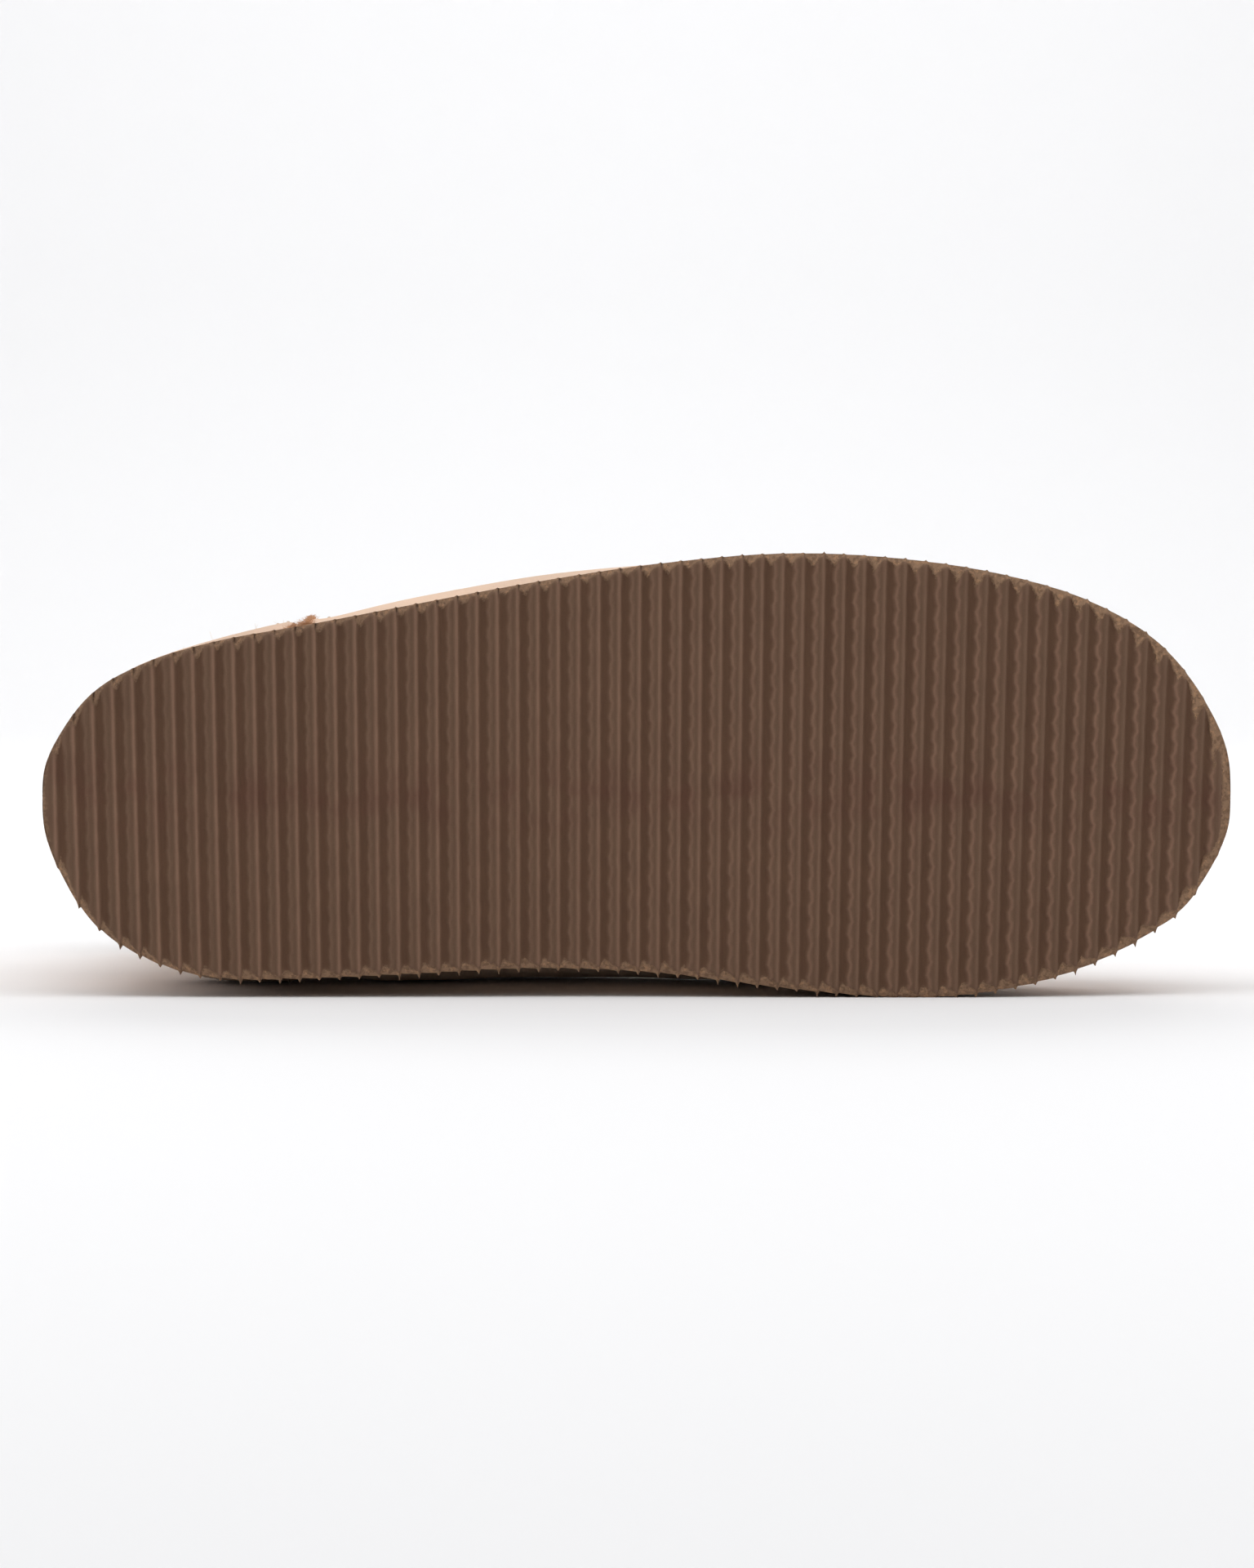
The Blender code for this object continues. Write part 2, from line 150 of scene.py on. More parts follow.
def readNormals(obj):
    normals = np.empty(len(obj.data.vertices) * 3)
    obj.data.vertices.foreach_get("normal", normals)
    return normals.reshape(-1, 3)


def writeShade(obj, name, values):
    layer = obj.data.attributes.new(name, "FLOAT", "POINT")
    layer.data.foreach_set("value", np.asarray(values, np.float32).ravel())


def gridPiece(name, points, shades=None):
    # a grid of columns by rows, shaped to the points given for it
    columns, rows = points.shape[:2]
    bpy.ops.object.select_all(action="DESELECT")
    bpy.ops.mesh.primitive_grid_add(x_subdivisions=columns - 1, y_subdivisions=rows - 1)
    obj = bpy.context.active_object
    obj.name = obj.data.name = name
    writePoints(obj, points.transpose(1, 0, 2).reshape(-1, 3))
    for shade, values in (shades or {}).items():
        writeShade(obj, shade, values.T)
    return obj


def finishMesh(obj, merge=0.0, angle=math.radians(40)):
    selectOnly(obj)
    if merge:
        bpy.ops.object.mode_set(mode="EDIT")
        bpy.ops.mesh.select_all(action="SELECT")
        bpy.ops.mesh.remove_doubles(threshold=merge)
        bpy.ops.mesh.normals_make_consistent(inside=False)
        bpy.ops.object.mode_set(mode="OBJECT")
    bpy.ops.object.shade_smooth_by_angle(angle=angle)
    return obj


def applyModifier(obj, name, kind, **settings):
    selectOnly(obj)
    modifier = obj.modifiers.new(name, kind)
    for key, value in settings.items():
        setattr(modifier, key, value)
    bpy.ops.object.modifier_apply(modifier=modifier.name)


def copyNode(node, name, levels):
    # a CAD node's mesh, merged and made finer
    obj = bpy.data.objects.new(name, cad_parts[node].data.copy())
    bpy.context.scene.collection.objects.link(obj)
    obj.data.name = name
    obj.data.materials.clear()
    selectOnly(obj)
    bpy.ops.mesh.customdata_custom_splitnormals_clear()
    bpy.ops.object.mode_set(mode="EDIT")
    bpy.ops.mesh.select_all(action="SELECT")
    bpy.ops.mesh.remove_doubles(threshold=0.00001)
    bpy.ops.mesh.tris_convert_to_quads(
        face_threshold=math.radians(50), shape_threshold=math.radians(60))
    bpy.ops.object.mode_set(mode="OBJECT")
    applyModifier(obj, "finer", "SUBSURF", levels=levels, render_levels=levels)
    return obj


def treeOf(obj):
    obj.data.calc_loop_triangles()
    corners = [tuple(t.vertices) for t in obj.data.loop_triangles]
    return bvhtree.BVHTree.FromPolygons([v.co.copy() for v in obj.data.vertices], corners)


def onSurface(tree, start, target):
    # where a line from outside first meets a surface, and its normal there
    start, target = Vector(start), Vector(target)
    spot, normal, _, _ = tree.ray_cast(start, (target - start).normalized())
    return (spot, normal) if spot else None


def place(obj, slot, material, *nodes):
    obj.data.materials.clear()
    obj.data.materials.append(material)
    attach(obj, "root")
    if nodes:
        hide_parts(*nodes)


# Shader groups


def newGroup(name, inputs, outputs):
    group = bpy.data.node_groups.new(name, "ShaderNodeTree")
    for socket, value in inputs:
        kind = "NodeSocketColor" if isinstance(value, tuple) else "NodeSocketFloat"
        made = group.interface.new_socket(socket, in_out="INPUT", socket_type=kind)
        made.default_value = (*value, 1) if isinstance(value, tuple) else value
    for socket, kind in outputs:
        group.interface.new_socket(socket, in_out="OUTPUT", socket_type=kind)
    return group, group.nodes.new("NodeGroupInput"), group.nodes.new("NodeGroupOutput")


def addNode(tree, kind, settings=None, **inputs):
    node = tree.nodes.new(kind)
    for key, value in (settings or {}).items():
        setattr(node, key, value)
    for key, value in inputs.items():
        socket = node.inputs[int(key[1:])] if key[0] == "i" and key[1:].isdigit() else node.inputs[key]
        if isinstance(value, bpy.types.NodeSocket):
            tree.links.new(value, socket)
        else:
            socket.default_value = value
    return node


def maths(tree, operation, first, second=0.0, clamp=False):
    settings = {"operation": operation, "use_clamp": clamp}
    return addNode(tree, "ShaderNodeMath", settings, i0=first, i1=second).outputs[0]


def times(tree, first, second):
    return maths(tree, "MULTIPLY", first, second)


def mixColour(tree, share, first, second):
    def colour(value):
        return (*value, 1) if isinstance(value, tuple) and len(value) == 3 else value

    return addNode(tree, "ShaderNodeMix", {"data_type": "RGBA"},
                   i0=share, i6=colour(first), i7=colour(second)).outputs[2]


def noiseAt(tree, where, scale, detail=2.0, rough=0.5):
    return addNode(tree, "ShaderNodeTexNoise", None, Vector=where, Scale=scale, Detail=detail,
                   Roughness=rough).outputs["Fac"]


def spread(tree, value, low, high):
    return addNode(tree, "ShaderNodeMapRange", {"interpolation_type": "SMOOTHSTEP"},
                   Value=value, i1=low, i2=high).outputs[0]


def mottleGroup():
    # soft patches and fine grain over one colour
    inputs = (("Colour", (0.5, 0.5, 0.5)), ("Patch Size", 60.0), ("Patches", 0.1),
              ("Grain Size", 1500.0), ("Grain", 0.1))
    outputs = (("Colour", "NodeSocketColor"), ("Height", "NodeSocketFloat"))
    group, given, out = newGroup("mottle", inputs, outputs)
    where = addNode(group, "ShaderNodeTexCoord").outputs["Object"]
    patches = noiseAt(group, where, given.outputs["Patch Size"], 3.0)
    grain = noiseAt(group, where, given.outputs["Grain Size"], 3.0, 0.6)
    change = times(group, maths(group, "SUBTRACT", patches, 0.5), given.outputs["Patches"])
    fine = times(group, maths(group, "SUBTRACT", grain, 0.5), given.outputs["Grain"])
    light = maths(group, "ADD", maths(group, "ADD", change, fine), 1.0)
    scaled = addNode(group, "ShaderNodeVectorMath", {"operation": "SCALE"},
                     i0=given.outputs["Colour"], Scale=light)
    group.links.new(scaled.outputs[0], out.inputs["Colour"])
    group.links.new(grain, out.inputs["Height"])
    return group


mottle = mottleGroup()


def newMaterial(name, roughness, sheen=0.0, sheenTint=(1, 1, 1)):
    material = bpy.data.materials.new(name)
    material.use_nodes = True
    shader = material.node_tree.nodes["Principled BSDF"]
    shader.inputs["Roughness"].default_value = roughness
    shader.inputs["Sheen Weight"].default_value = sheen
    shader.inputs["Sheen Roughness"].default_value = 0.6
    shader.inputs["Sheen Tint"].default_value = (*sheenTint, 1)
    shader.inputs["Specular IOR Level"].default_value = 0.25
    return material, material.node_tree, shader


def useMottle(tree, colour, patchSize, patches, grainSize, grain):
    node = tree.nodes.new("ShaderNodeGroup")
    node.node_tree = mottle
    sizes = {"Patch Size": patchSize, "Patches": patches, "Grain Size": grainSize, "Grain": grain}
    for key, value in sizes.items():
        node.inputs[key].default_value = value
    if isinstance(colour, bpy.types.NodeSocket):
        tree.links.new(colour, node.inputs["Colour"])
    else:
        node.inputs["Colour"].default_value = (*colour, 1)
    return node


def addBump(tree, shader, height, strength, distance):
    bump = addNode(tree, "ShaderNodeBump", None, Strength=strength, Distance=distance, Height=height)
    tree.links.new(bump.outputs[0], shader.inputs["Normal"])


# Rubber sole

rubberLook = {
    "crest": (0.143, 0.083, 0.050),
    # groove: darker colour, painted shade in the grooves
    "groove": (0.126, 0.066, 0.037),
    # straight and wavy lines: lighter colours, painted highlights on the rib edges
    "straightLineHighlight": (0.252, 0.144, 0.094),
    "wavyLineHighlight": (0.228, 0.127, 0.082),
    "sanded": (0.270, 0.162, 0.096),
    "crumb": (0.140, 0.078, 0.045),
    "lightCrumb": (0.420, 0.235, 0.125),
    # nick: painted shade in the torn nicks
    "nick": (0.050, 0.028, 0.018),
    "side": (0.40, 0.275, 0.19),
    "midline": (0.118, 0.046, 0.031),
    "midlineWidth": 0.012,
    "midlineOff": 0.001,
    "midlineTint": 0.45,
    "streakStretch": 0.07,
    "streakSize": 2100.0,
    "streaks": 0.16,
    "crumbSize": 850.0,
    "lightCrumbSize": 1000.0,
    "raggedness": 16.0,
    "poreSize": 1900.0,
    "pores": 0.45,
    "roughness": 0.72,
}


def ribColour(tree, shade, where):
    # ribs with painted shade in their grooves and painted highlights on their straight and wavy lines, redder
    # along the sole's middle, with the mould's fine streaks
    colour = mixColour(tree, shade("groove"), rubberLook["crest"], rubberLook["groove"])
    colour = mixColour(tree, shade("straightLineHighlight"), colour, rubberLook["straightLineHighlight"])
    colour = mixColour(tree, shade("wavyLineHighlight"), colour, rubberLook["wavyLineHighlight"])
    upward = addNode(tree, "ShaderNodeSeparateXYZ", None, i0=where).outputs[2]
    middle = shoe["axisZ"] + rubberLook["midlineOff"]
    offMiddle = maths(tree, "ABSOLUTE", maths(tree, "SUBTRACT", upward, middle))
    offMiddle = maths(tree, "DIVIDE", offMiddle, rubberLook["midlineWidth"])
    nearMiddle = maths(tree, "SUBTRACT", 1.0, offMiddle, True)
    tint = times(tree, nearMiddle, spread(tree, noiseAt(tree, where, 90.0, 3.0), 0.40, 0.65))
    colour = mixColour(tree, times(tree, tint, rubberLook["midlineTint"]), colour, rubberLook["midline"])
    # the streaks run across the sole, along its ribs
    stretched = addNode(tree, "ShaderNodeVectorMath", {"operation": "MULTIPLY"},
                        i0=where, i1=(1, 1, rubberLook["streakStretch"]))
    streaks = noiseAt(tree, stretched.outputs[0], rubberLook["streakSize"], 3.0, 0.6)
    streak = times(tree, spread(tree, streaks, 0.35, 0.70), rubberLook["streaks"])
    return mixColour(tree, streak, colour, rubberLook["midline"])


def rubberMaterial():
    material, tree, shader = newMaterial("brown sponge rubber", rubberLook["roughness"])

    def shade(name):
        return addNode(tree, "ShaderNodeAttribute", {"attribute_name": name}).outputs["Fac"]

    where = addNode(tree, "ShaderNodeTexCoord").outputs["Object"]
    colour = ribColour(tree, shade, where)
    # the sanded edge is ragged where it meets the ribs
    crumbs = noiseAt(tree, where, rubberLook["crumbSize"], 5.0, 0.7)
    trimmed = shade("sanded")
    fringe = times(tree, trimmed, maths(tree, "SUBTRACT", 1.0, trimmed))
    fringe = times(tree, fringe, rubberLook["raggedness"])
    ragged = times(tree, maths(tree, "SUBTRACT", crumbs, 0.5), fringe)
    sanded = spread(tree, maths(tree, "ADD", trimmed, ragged), 0.15, 0.85)
    colour = mixColour(tree, sanded, colour, rubberLook["sanded"])
    colour = mixColour(tree, shade("side"), colour, rubberLook["side"])
    pores = spread(tree, noiseAt(tree, where, rubberLook["poreSize"]), 0.56, 0.68)
    pores = times(tree, times(tree, pores, shade("side")), rubberLook["pores"])
    colour = mixColour(tree, pores, colour, rubberLook["crumb"])
    light = spread(tree, noiseAt(tree, where, rubberLook["lightCrumbSize"], 3.0), 0.53, 0.64)
    light = times(tree, times(tree, sanded, light), 0.6)
    colour = mixColour(tree, light, colour, rubberLook["lightCrumb"])
    # painted shade in the nicks
    colour = mixColour(tree, shade("nick"), colour, rubberLook["nick"])
    mottled = useMottle(tree, colour, 120.0, 0.20, 2600.0, 0.22)
    dark = times(tree, times(tree, sanded, spread(tree, crumbs, 0.47, 0.60)), 0.7)
    rough = mixColour(tree, dark, mottled.outputs["Colour"], rubberLook["crumb"])
    tree.links.new(rough, shader.inputs["Base Color"])
    crumbled = times(tree, crumbs, maths(tree, "ADD", times(tree, sanded, 0.9), 0.15))
    height = maths(tree, "ADD", times(tree, mottled.outputs["Height"], 0.35), crumbled)
    addBump(tree, shader, height, 0.5, 0.0003)
    return material


tread = {
    "pitch": 0.00503,
    "firstLine": 0.0034,  # first straight line, from the heel's end along the axis
    "leanHeel": math.radians(1.6),
    "leanToe": math.radians(-2.1),
    "depth": 0.00095,
    "depthJitter": 0.04,
    "wave": 0.00036,
    "waveStrength": ((0, 0.35, 0.7, 1), (0.45, 0.6, 1, 1.1)),  # along the sole
    "wavePeriod": 0.0059,
    "waveFade": 0.0012,  # from the edge inwards
    "wander": 0.00005,
    "endColumns": 9,
    "endReach": 0.0016,
    "endBunching": 3.3,
    "tipReach": 0.006,  # where ribs and edge run out, at the very heel and toe
    "rows": 96,
    "edgeRows": (0.0, 0.00025, 0.0005, 0.0008, 0.0011, 0.0015, 0.0019, 0.0023, 0.0028, 0.0034),
    "rowsWidth": 0.016,  # the edge rows close up where the sole is narrower than this
    # how far the sanded edge reaches in over each rib, at heel, waist and toe
    "lobe": {"inner": (0.0016, 0.0019, 0.0019), "outer": (0.0024, 0.0022, 0.0036)},
    "lobeAt": {"inner": (0.24, 0.26, 0.30), "outer": (0.14, 0.40, 0.60)},
    "lobeRise": {"inner": (0.26, 0.26, 0.30), "outer": (0.22, 0.30, 0.38)},
    "lobeJitter": {"inner": 0.10, "outer": 0.18},
    "band": (0.0004, 0.0006, 0.0009),
    "tipBand": (0.0004, 0.0019),  # plain sanded band at the very heel and toe
    "sandedFade": 0.0013,
    "sandedContrast": ((0, 0.30, 0.55, 1), (0.62, 0.68, 0.9, 1)),  # of the outer edge, along the sole
    "chamfer": 0.0011,
    "chamferMargin": 0.0006,
    "chamferLeast": 0.0002,
    "nickAt": 0.06,  # beside each straight line, in shares of the pitch
    "nickWidth": 0.045,
    "nickReach": 0.0023,
    "nickDepth": 0.0006,
    "burr": 0.0011,
    "burrWidth": 0.11,
    "burrOuter": ((0, 0.5, 1), (0.08, 0.22, 0.30)),
    "tooth": 0.00036,
    # painted highlight on the straight lines, strongest towards the heel, and on the wavy lines, strongest
    # towards the toe, as the light falls on the rib edges
    "straightHighlightAlong": ((0, 0.5, 0.8, 1), (0.9, 0.75, 0.3, 0.2)),
    "wavyHighlightAlong": ((0, 0.4, 0.7, 1), (0.15, 0.35, 0.75, 1.0)),
    "wallTaper": 0.0015,
    "wallRows": (0.0, 0.10, 0.3, 0.55, 0.8, 0.94, 1.0),
    "wallNoise": 0.00005,
}
shadeNames = ("groove", "straightLineHighlight", "wavyLineHighlight", "sanded", "nick", "side")
# One rib, from its straight edge: share of the pitch, height in shares of the depth,
# how far it follows the wave, how much painted highlight of the straight and of the wavy line it carries
ribProfile = (
    (0.000, 0.16, 0.0, 1.00, 0.0),
    (0.050, -0.05, 0.0, 0.85, 0.0),
    (0.110, -0.62, 0.0, 0.25, 0.0),
    (0.190, -0.98, 0.1, 0.0, 0.0),
    (0.290, -1.00, 0.3, 0.0, 0.0),
    (0.390, -0.80, 0.7, 0.0, 0.05),
    (0.480, -0.40, 0.9, 0.0, 0.40),
    (0.560, -0.02, 1.0, 0.0, 0.95),
    (0.630, 0.08, 1.0, 0.0, 1.00),
    (0.710, -0.10, 0.8, 0.0, 0.45),
    (0.800, -0.16, 0.3, 0.0, 0.05),
    (0.880, -0.05, 0.0, 0.25, 0.0),
    (0.945, 0.12, 0.0, 0.85, 0.0),
)


def threeWay(values, share):
    return np.interp(share, (0.0, 0.5, 1.0), values)


def soleColumns():
    # where the grid's columns start on the axis, the rib of each and its place in that rib
    length, pitch = shoe["length"], tread["pitch"]
    ends = np.arange(tread["endColumns"]) / tread["endColumns"]
    ends = tread["endReach"] * ends ** tread["endBunching"]
    ribs = np.arange(-2, int(length / pitch) + 2)
    inRib = np.array([row[0] for row in ribProfile])
    starts = (tread["firstLine"] + pitch * (ribs[:, None] + inRib[None, :])).ravel()
    inside = (starts > tread["endReach"]) & (starts < length - tread["endReach"])
    base = np.concatenate((ends, starts[inside], (length - ends)[::-1]))
    inPitches = (base - tread["firstLine"]) / pitch
    rib = np.floor(inPitches + 1e-6).astype(int)
    return base, rib, inPitches - rib, len(ribs)


def ribValues(share):
    profile = np.array(ribProfile)
    wrapped = np.vstack((profile, profile[0] + np.array([1, 0, 0, 0, 0])))
    return (np.interp(share, wrapped[:, 0], wrapped[:, k]) for k in (1, 2, 3, 4))


def soleEdges(base, lean):
    # where each leaning column meets the outline
    length, edges = shoe["length"], {}
    for side, sign in (("inner", 1), ("outer", -1)):
        across = sign * soleHalf(side, base)
        for _ in range(6):
            along = base + across * np.tan(lean)
            across = sign * soleHalf(side, np.clip(along, 0, length))
        edges[side] = (np.clip(base + across * np.tan(lean), 0, length), across)
    return edges


def waveShift(across, rib, lengthShare, jitter):
    phase = 0.35 * jitter[0] + 0.5 * rib
    waves = np.sin(2 * math.pi * across / tread["wavePeriod"] + phase)
    waves += 0.35 * np.sin(2 * math.pi * across / (tread["wavePeriod"] * 0.37) + 2.1 * rib)
    return tread["wave"] * np.interp(lengthShare, *tread["waveStrength"]) * waves


def distanceToOutline(edges, along, across, atEdge):
    ring = np.concatenate([np.stack((a, c), -1) for a, c in edges.values()])
    tree = kdtree.KDTree(len(ring))
    for i, (a, c) in enumerate(ring):
        tree.insert((a, c, 0), i)
    tree.balance()
    toEdge = np.array([tree.find((a, c, 0))[2] for a, c in zip(along.ravel(), across.ravel())])
    toEdge = np.minimum(toEdge.reshape(along.shape), atEdge + 1e-9)
    toEdge[0] = toEdge[-1] = 0
    return toEdge


def sandedEdge(share, lengthShare, isInner, toEdge, tip, jitter):
    # how far each spot is sanded, and how deep the edge is cut back there
    def bySide(name):
        inner, outer = (threeWay(tread[name][side], lengthShare) for side in ("inner", "outer"))
        return np.where(isInner, inner, outer)

    peak, rise = bySide("lobeAt"), bySide("lobeRise")
    off = (share - peak + rise) % 1.0 - rise
    dome = np.where(off < 0, ease(1 + off / rise), np.maximum(1 - off / (1 - rise), 0) ** 0.9)
    arches = 1 - np.sin(math.pi * ((share - peak) % 1.0)) ** 1.1
    lobe = bySide("lobe") * (1 + np.where(isInner, *tread["lobeJitter"].values()) * jitter[2])
    tipBand = np.where(lengthShare < 0.5, *tread["tipBand"])
    reach = threeWay(tread["band"], lengthShare)
    reach = reach + lobe * np.where(isInner, dome, arches) * tip + tipBand * (1 - tip)
    sanded = 1 - ease((toEdge - reach) / tread["sandedFade"] + 0.5)
    cut = tread["chamfer"] * (1 - toEdge / (reach + tread["chamferMargin"]))
    return sanded, np.clip(cut, tread["chamferLeast"], tread["chamfer"])


def edgeNicks(share, lengthShare, isInner, toEdge, tip, jitter):
    # torn nicks beside the straight lines, fewer towards the toe; their dark colour is painted shade
    off = (share - tread["nickAt"]) / tread["nickWidth"]
    nextOff = (share - 1 - tread["nickAt"]) / tread["nickWidth"]
    reach = tread["nickReach"] * (1 + 0.3 * jitter[5])
    strength = np.where(isInner, 0.45, 1 - ease((lengthShare - 0.5) / 0.3))
    nick = np.exp(-off ** 2) + np.exp(-nextOff ** 2)
    return nick * (1 - ease(toEdge / reach)) * tip * strength


def buildTread(rng):
    base, rib, share, ribCount = soleColumns()
    length = shoe["length"]
    lengthShare = base / length
    height, follow, straight, wavy = ribValues(share)
    tip = ease(np.minimum(base, length - base) / tread["tipReach"])
    lean = np.interp(lengthShare, (0, 1), (tread["leanHeel"], tread["leanToe"])) * tip
    edges = soleEdges(base, lean)
    width = edges["inner"][1] - edges["outer"][1]
    near = np.array(tread["edgeRows"])[:, None] * np.minimum(width / tread["rowsWidth"], 1.0)
    middle = np.linspace(0, 1, tread["rows"] + 2)[1:-1, None]
    fromInner = near[-1] + middle * (width - 2 * near[-1])
    fromInner = np.concatenate((near, fromInner, width - near[::-1]))
    across = edges["inner"][1] - fromInner
    along = base + across * np.tan(lean)
    atEdge = np.minimum(fromInner, width - fromInner)
    jitter = rng.normal(0, 1, (ribCount + 4, 8))[rib + 2].T
    shift = follow * waveShift(across, rib, lengthShare, jitter)
    shift += tread["wander"] * np.sin(across * 900 + 3 * jitter[1]) * np.sin(across * 317 + rib)
    along = along + shift * ease(atEdge / tread["waveFade"]) * tip
    isInner = across > 0
    toEdge = distanceToOutline(edges, along, across, atEdge)
    sanded, cut = sandedEdge(share, lengthShare, isInner, toEdge, tip, jitter)
    nick = edgeNicks(share, lengthShare, isInner, toEdge, tip, jitter)
    ribbed = height * tread["depth"] * (1 + tread["depthJitter"] * jitter[4])
    level = ribbed * (1 - sanded) - cut * sanded - tread["nickDepth"] * nick
    # the edge's small saw teeth, each with a torn burr where the straight line ends
    spike = np.clip(1 - np.abs((share + 0.5) % 1.0 - 0.5) / tread["burrWidth"], 0, 1) ** 1.5
    tooth = tread["burr"] * (0.7 + 0.5 * np.abs(jitter[6])) * spike + tread["tooth"] * (share - 0.5)
    across[0] = np.minimum(across[0] + tooth * tip, shoe["axisZ"])  # none below the floor
    across[-1] -= tooth * tip * np.interp(lengthShare, *tread["burrOuter"])
    contrast = np.where(isInner, 1.0, np.interp(lengthShare, *tread["sandedContrast"]))
    shades = {
        # painted shade: darker the deeper the groove, and in the nicks
        "groove": np.clip(-height, 0, 1) * (1 - sanded) + nick,
        # painted highlights on the rib edges, fading where sanded
        "straightLineHighlight": straight * (1 - sanded) * np.interp(lengthShare, *tread["straightHighlightAlong"]),
        "wavyLineHighlight": wavy * (1 - sanded) * np.interp(lengthShare, *tread["wavyHighlightAlong"]),
        "sanded": sanded * contrast * (1 - 0.8 * np.clip(nick, 0, 1)),
        # painted shade in the nicks, half as strong on the inner edge
        "nick": 0.75 * np.clip(nick, 0, 1) * np.where(isInner, 0.5, 1),
        "side": np.zeros_like(sanded),
    }
    points = toWorld(along, across, treadHeight(along) - level)
    under = gridPiece("outsole_rubber", points.transpose(1, 0, 2), {k: v.T for k, v in shades.items()})
    return under, along, across, level


def buildWall(along, across, level, side, sign, rng):
    # the side wall over one edge of the tread
    length, taper, rows = shoe["length"], tread["wallTaper"], tread["wallRows"]
    topAlong = taper + along * (1 - 2 * taper / length)
    topAcross = sign * soleHalf(side, topAlong, taper)
    low = treadHeight(along) - level
    wall = []
    for k, rise in enumerate(rows):
        a = along + (topAlong - along) * rise
        c = across + (topAcross - across) * (rise ** 0.8)
        h = low + (soleTop(topAlong) - low) * rise
        if 0 < k < len(rows) - 1:
            c = c + sign * rng.normal(0, tread["wallNoise"], len(c))
        wall.append(toWorld(a, c, h))
    wall = np.array(wall).transpose(1, 0, 2)
    onWall = np.zeros(wall.shape[:2])
    onWall[:, 1:] = 1
    shades = {**dict.fromkeys(shadeNames, onWall * 0), "sanded": 1 - onWall, "side": onWall}
    return gridPiece("side wall", wall, shades), wall[:, -1]


def buildSole():
    rng = np.random.default_rng(11)
    under, along, across, level = buildTread(rng)
    inner, innerTop = buildWall(along[0], across[0], level[0], "inner", 1, rng)
    outer, outerTop = buildWall(along[-1], across[-1], level[-1], "outer", -1, rng)
    # the top that the upper stands on
    lid = np.stack((innerTop, (innerTop + outerTop) / 2, outerTop), 1)
    onTop = np.ones(lid.shape[:2])
    shades = {**dict.fromkeys(shadeNames, onTop * 0), "side": onTop}
    selectOnly(under, inner, outer, gridPiece("lid", lid, shades))
    bpy.ops.object.join()
    return finishMesh(under, merge=0.000004, angle=math.radians(55))


sole = buildSole()
place(sole, "sole_rubber", rubberMaterial(), "outsole")
print("sole", len(sole.data.polygons))

# Suede upper

suedeLook = {
    "upper": (0.690, 0.490, 0.362),
    "counter": (0.650, 0.450, 0.328),
    "patchSize": 34.0,
    "patches": 0.34,
    "grainSize": 1100.0,
    "grain": 0.34,
}


def suedeMaterial(name, colour):
    material, tree, shader = newMaterial(name, 0.92, 0.22, (1.0, 0.86, 0.74))
    mottled = useMottle(tree, colour, suedeLook["patchSize"], suedeLook["patches"],
                        suedeLook["grainSize"], suedeLook["grain"])
    where = addNode(tree, "ShaderNodeTexCoord").outputs["Object"]
    brushed = noiseAt(tree, where, 14.0, 4.0, 0.55)
    worn = mixColour(tree, spread(tree, brushed, 0.42, 0.62), mottled.outputs["Colour"],
                     tuple(min(value * 1.12, 0.95) for value in colour))
    tree.links.new(worn, shader.inputs["Base Color"])
    nap = noiseAt(tree, where, 420.0, 5.0, 0.7)
    height = maths(tree, "ADD", maths(tree, "MULTIPLY", nap, 1.2), mottled.outputs["Height"])
    addBump(tree, shader, height, 0.6, 0.0005)
    return material


# Soft creases: points along the line in the shoe's own sizes (along, across, height), radius, depth
creases = (
    (((0.124, 0.038, 0.064), (0.138, 0.022, 0.080), (0.145, 0.004, 0.087), (0.144, -0.014, 0.084),
      (0.130, -0.030, 0.067)), 0.0058, 0.0036),
    (((0.112, 0.040, 0.078), (0.122, 0.024, 0.094), (0.128, 0.004, 0.101), (0.127, -0.014, 0.098),
      (0.116, -0.031, 0.082)), 0.0055, 0.0034),
    (((0.106, 0.026, 0.110), (0.112, 0.008, 0.117), (0.112, -0.012, 0.115),
      (0.107, -0.026, 0.106)), 0.0050, 0.0022),
    (((0.193, 0.038, 0.036), (0.202, 0.020, 0.053), (0.205, 0.000, 0.056), (0.203, -0.022, 0.052),
      (0.190, -0.044, 0.034)), 0.0060, 0.0024),
    (((0.212, 0.036, 0.032), (0.221, 0.014, 0.045), (0.220, -0.016, 0.044),
      (0.206, -0.044, 0.032)), 0.0050, 0.0019),
    (((0.180, -0.010, 0.062), (0.186, -0.030, 0.053), (0.184, -0.046, 0.038)), 0.0045, 0.0015),
    (((0.012, 0.000, 0.080), (0.016, 0.026, 0.083), (0.034, 0.038, 0.090)), 0.0060, 0.0026),
    (((0.011, 0.000, 0.093), (0.018, -0.024, 0.097), (0.040, -0.034, 0.103)), 0.0055, 0.0024),
    (((0.088, -0.040, 0.052), (0.104, -0.040, 0.068), (0.114, -0.030, 0.086)), 0.0075, 0.0030),
    (((0.086, 0.042, 0.050), (0.102, 0.042, 0.064), (0.112, 0.035, 0.084)), 0.0075, 0.0026),
    (((0.076, -0.044, 0.094), (0.090, -0.038, 0.104), (0.104, -0.024, 0.110)), 0.0060, 0.0022),
)


# The line through the foot's middle, which turns up into the shaft
foot = {
    "heel": 0.045,
    "toe": 0.235,
    "height": 0.034,
    "shaftAlong": 0.062,
    "shaftFrom": 0.078,
    "shaftBlend": 0.02,
}


def footLine(along, height):
    shaft = ease((height - foot["shaftFrom"]) / foot["shaftBlend"])
    return np.clip(along, foot["heel"], foot["toe"]) * (1 - shaft) + foot["shaftAlong"] * shaft, shaft


def outwardOf(points, normals):
    # each wall's normal turned to point away from the foot
    along, across, height = toShoe(points)
    middle, shaft = footLine(along, height)
    away = toWorld(along - middle, across, (height - foot["height"]) * (1 - shaft))
    away -= toWorld(0.0, 0.0, 0.0)
    facing = np.sign((away * normals).sum(1))
    return normals * facing[:, None], facing


